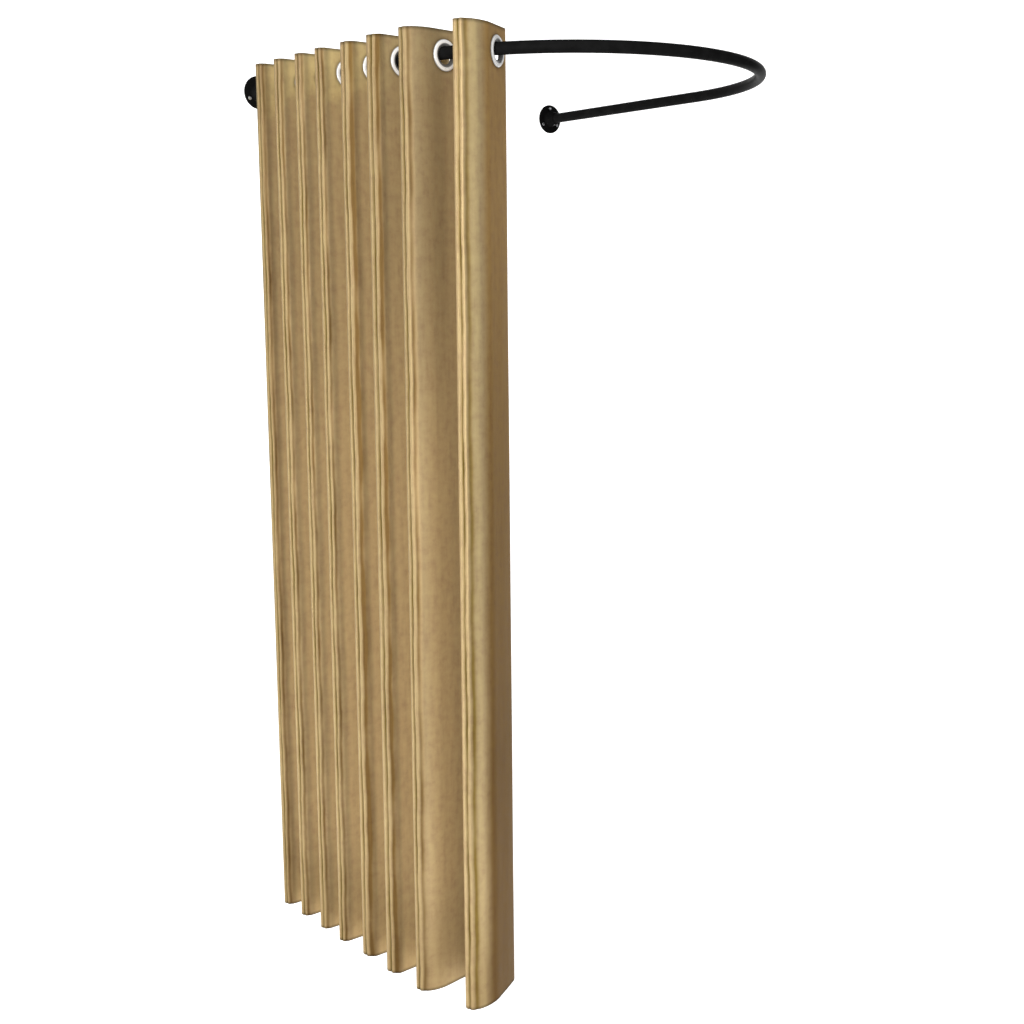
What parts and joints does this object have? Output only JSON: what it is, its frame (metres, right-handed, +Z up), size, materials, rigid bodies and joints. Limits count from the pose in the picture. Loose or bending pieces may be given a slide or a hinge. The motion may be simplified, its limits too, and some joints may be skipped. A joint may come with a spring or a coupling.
{
  "type": "portable fitting room",
  "caption": "Wall-mounted U-shaped curtain rail with round flanges and a full-length satin eyelet curtain gathered at one side, closing off a changing space.",
  "frame": {"origin": "middle of the left wall flange's back face, on the wall plane, at the height of the rail's centre line", "axes": "+X along the wall towards the right flange, -Y out of the wall into the room, +Z up"},
  "size_m": [1.0065, 1.0125, 2],
  "materials": {
    "rail_tube": "black powder coat, satin",
    "rail_sleeve": "zinc plated",
    "wall_flange": "black, semi-gloss",
    "fastener": "bright zinc plated",
    "curtain_satin": "gold satin weave with a soft sheen",
    "eyelet_metal": "polished nickel, slightly hazy"
  },
  "bodies": {
    "root": {"left_leg_tube": "rail_tube", "left_bend_tube": "rail_tube", "right_bend_tube": "rail_tube", "right_leg_tube": "rail_tube", "left_joining_sleeve": "rail_sleeve", "middle_joining_sleeve": "rail_sleeve", "right_joining_sleeve": "rail_sleeve", "left_wall_flange": "wall_flange", "right_wall_flange": "wall_flange", "left_flange_screw_1": "fastener", "left_flange_screw_2": "fastener", "left_flange_screw_3": "fastener", "right_flange_screw_1": "fastener", "right_flange_screw_2": "fastener", "right_flange_screw_3": "fastener", "left_tube_grub_screw": "fastener", "right_tube_grub_screw": "fastener", "curtain_cloth": "curtain_satin", "eyelet_05_front": "eyelet_metal", "eyelet_05_back": "eyelet_metal"},
    "eyelet_01": {"eyelet_01_front": "eyelet_metal", "eyelet_01_back": "eyelet_metal"},
    "eyelet_02": {"eyelet_02_front": "eyelet_metal", "eyelet_02_back": "eyelet_metal"},
    "eyelet_03": {"eyelet_03_front": "eyelet_metal", "eyelet_03_back": "eyelet_metal"},
    "eyelet_04": {"eyelet_04_front": "eyelet_metal", "eyelet_04_back": "eyelet_metal"},
    "eyelet_06": {"eyelet_06_front": "eyelet_metal", "eyelet_06_back": "eyelet_metal"},
    "eyelet_07": {"eyelet_07_front": "eyelet_metal", "eyelet_07_back": "eyelet_metal"},
    "eyelet_08": {"eyelet_08_front": "eyelet_metal", "eyelet_08_back": "eyelet_metal"},
    "eyelet_09": {"eyelet_09_front": "eyelet_metal", "eyelet_09_back": "eyelet_metal"},
    "eyelet_10": {"eyelet_10_front": "eyelet_metal", "eyelet_10_back": "eyelet_metal"},
    "eyelet_11": {"eyelet_11_front": "eyelet_metal", "eyelet_11_back": "eyelet_metal"},
    "eyelet_12": {"eyelet_12_front": "eyelet_metal", "eyelet_12_back": "eyelet_metal"},
    "eyelet_13": {"eyelet_13_front": "eyelet_metal", "eyelet_13_back": "eyelet_metal"},
    "eyelet_14": {"eyelet_14_front": "eyelet_metal", "eyelet_14_back": "eyelet_metal"},
    "eyelet_15": {"eyelet_15_front": "eyelet_metal", "eyelet_15_back": "eyelet_metal"},
    "eyelet_16": {"eyelet_16_front": "eyelet_metal", "eyelet_16_back": "eyelet_metal"}
  },
  "joints": [
    {"name": "eyelet_04_turn", "type": "hinge", "parent": "root", "child": "eyelet_04", "pos_m": [0.45, -0.55, 0], "axis": [0, 0, 1], "range_deg": [-2, 12], "deforming": ["curtain_cloth"]},
    {"name": "eyelet_03_turn", "type": "hinge", "parent": "eyelet_04", "child": "eyelet_03", "pos_m": [0.45, -0.55, 0], "axis": [0, 0, 1], "range_deg": [-2, 12], "deforming": ["curtain_cloth"]},
    {"name": "eyelet_02_turn", "type": "hinge", "parent": "eyelet_03", "child": "eyelet_02", "pos_m": [0.45, -0.55, 0], "axis": [0, 0, 1], "range_deg": [-2, 12], "deforming": ["curtain_cloth"]},
    {"name": "eyelet_01_turn", "type": "hinge", "parent": "eyelet_02", "child": "eyelet_01", "pos_m": [0.45, -0.55, 0], "axis": [0, 0, 1], "range_deg": [-2, 12], "deforming": ["curtain_cloth"]},
    {"name": "eyelet_06_slide", "type": "slide", "parent": "root", "child": "eyelet_06", "axis": [0, -1, 0], "range_m": [-0.005, 0.014], "deforming": ["curtain_cloth"]},
    {"name": "eyelet_07_slide", "type": "slide", "parent": "eyelet_06", "child": "eyelet_07", "axis": [0, -1, 0], "range_m": [-0.005, 0.014], "deforming": ["curtain_cloth"]},
    {"name": "eyelet_08_slide", "type": "slide", "parent": "eyelet_07", "child": "eyelet_08", "axis": [0, -1, 0], "range_m": [-0.005, 0.014], "deforming": ["curtain_cloth"]},
    {"name": "eyelet_09_slide", "type": "slide", "parent": "eyelet_08", "child": "eyelet_09", "axis": [0, -1, 0], "range_m": [-0.005, 0.014], "deforming": ["curtain_cloth"]},
    {"name": "eyelet_10_slide", "type": "slide", "parent": "eyelet_09", "child": "eyelet_10", "axis": [0, -1, 0], "range_m": [-0.005, 0.014], "deforming": ["curtain_cloth"]},
    {"name": "eyelet_11_slide", "type": "slide", "parent": "eyelet_10", "child": "eyelet_11", "axis": [0, -1, 0], "range_m": [-0.005, 0.014], "deforming": ["curtain_cloth"]},
    {"name": "eyelet_12_slide", "type": "slide", "parent": "eyelet_11", "child": "eyelet_12", "axis": [0, -1, 0], "range_m": [-0.005, 0.014], "deforming": ["curtain_cloth"]},
    {"name": "eyelet_13_slide", "type": "slide", "parent": "eyelet_12", "child": "eyelet_13", "axis": [0, -1, 0], "range_m": [-0.005, 0.014], "deforming": ["curtain_cloth"]},
    {"name": "eyelet_14_slide", "type": "slide", "parent": "eyelet_13", "child": "eyelet_14", "axis": [0, -1, 0], "range_m": [-0.005, 0.014], "deforming": ["curtain_cloth"]},
    {"name": "eyelet_15_slide", "type": "slide", "parent": "eyelet_14", "child": "eyelet_15", "axis": [0, -1, 0], "range_m": [-0.005, 0.014], "deforming": ["curtain_cloth"]},
    {"name": "eyelet_16_slide", "type": "slide", "parent": "eyelet_15", "child": "eyelet_16", "axis": [0, -1, 0], "range_m": [-0.005, 0.014], "deforming": ["curtain_cloth"]}
  ],
  "couplings": [
    {"joint": "eyelet_03_turn", "follows": "eyelet_04_turn", "ratio": 1},
    {"joint": "eyelet_02_turn", "follows": "eyelet_04_turn", "ratio": 1},
    {"joint": "eyelet_01_turn", "follows": "eyelet_04_turn", "ratio": 1},
    {"joint": "eyelet_07_slide", "follows": "eyelet_06_slide", "ratio": 1},
    {"joint": "eyelet_08_slide", "follows": "eyelet_06_slide", "ratio": 1},
    {"joint": "eyelet_09_slide", "follows": "eyelet_06_slide", "ratio": 1},
    {"joint": "eyelet_10_slide", "follows": "eyelet_06_slide", "ratio": 1},
    {"joint": "eyelet_11_slide", "follows": "eyelet_06_slide", "ratio": 1},
    {"joint": "eyelet_12_slide", "follows": "eyelet_06_slide", "ratio": 1},
    {"joint": "eyelet_13_slide", "follows": "eyelet_06_slide", "ratio": 1},
    {"joint": "eyelet_14_slide", "follows": "eyelet_06_slide", "ratio": 1},
    {"joint": "eyelet_15_slide", "follows": "eyelet_06_slide", "ratio": 1},
    {"joint": "eyelet_16_slide", "follows": "eyelet_06_slide", "ratio": 1}
  ]
}
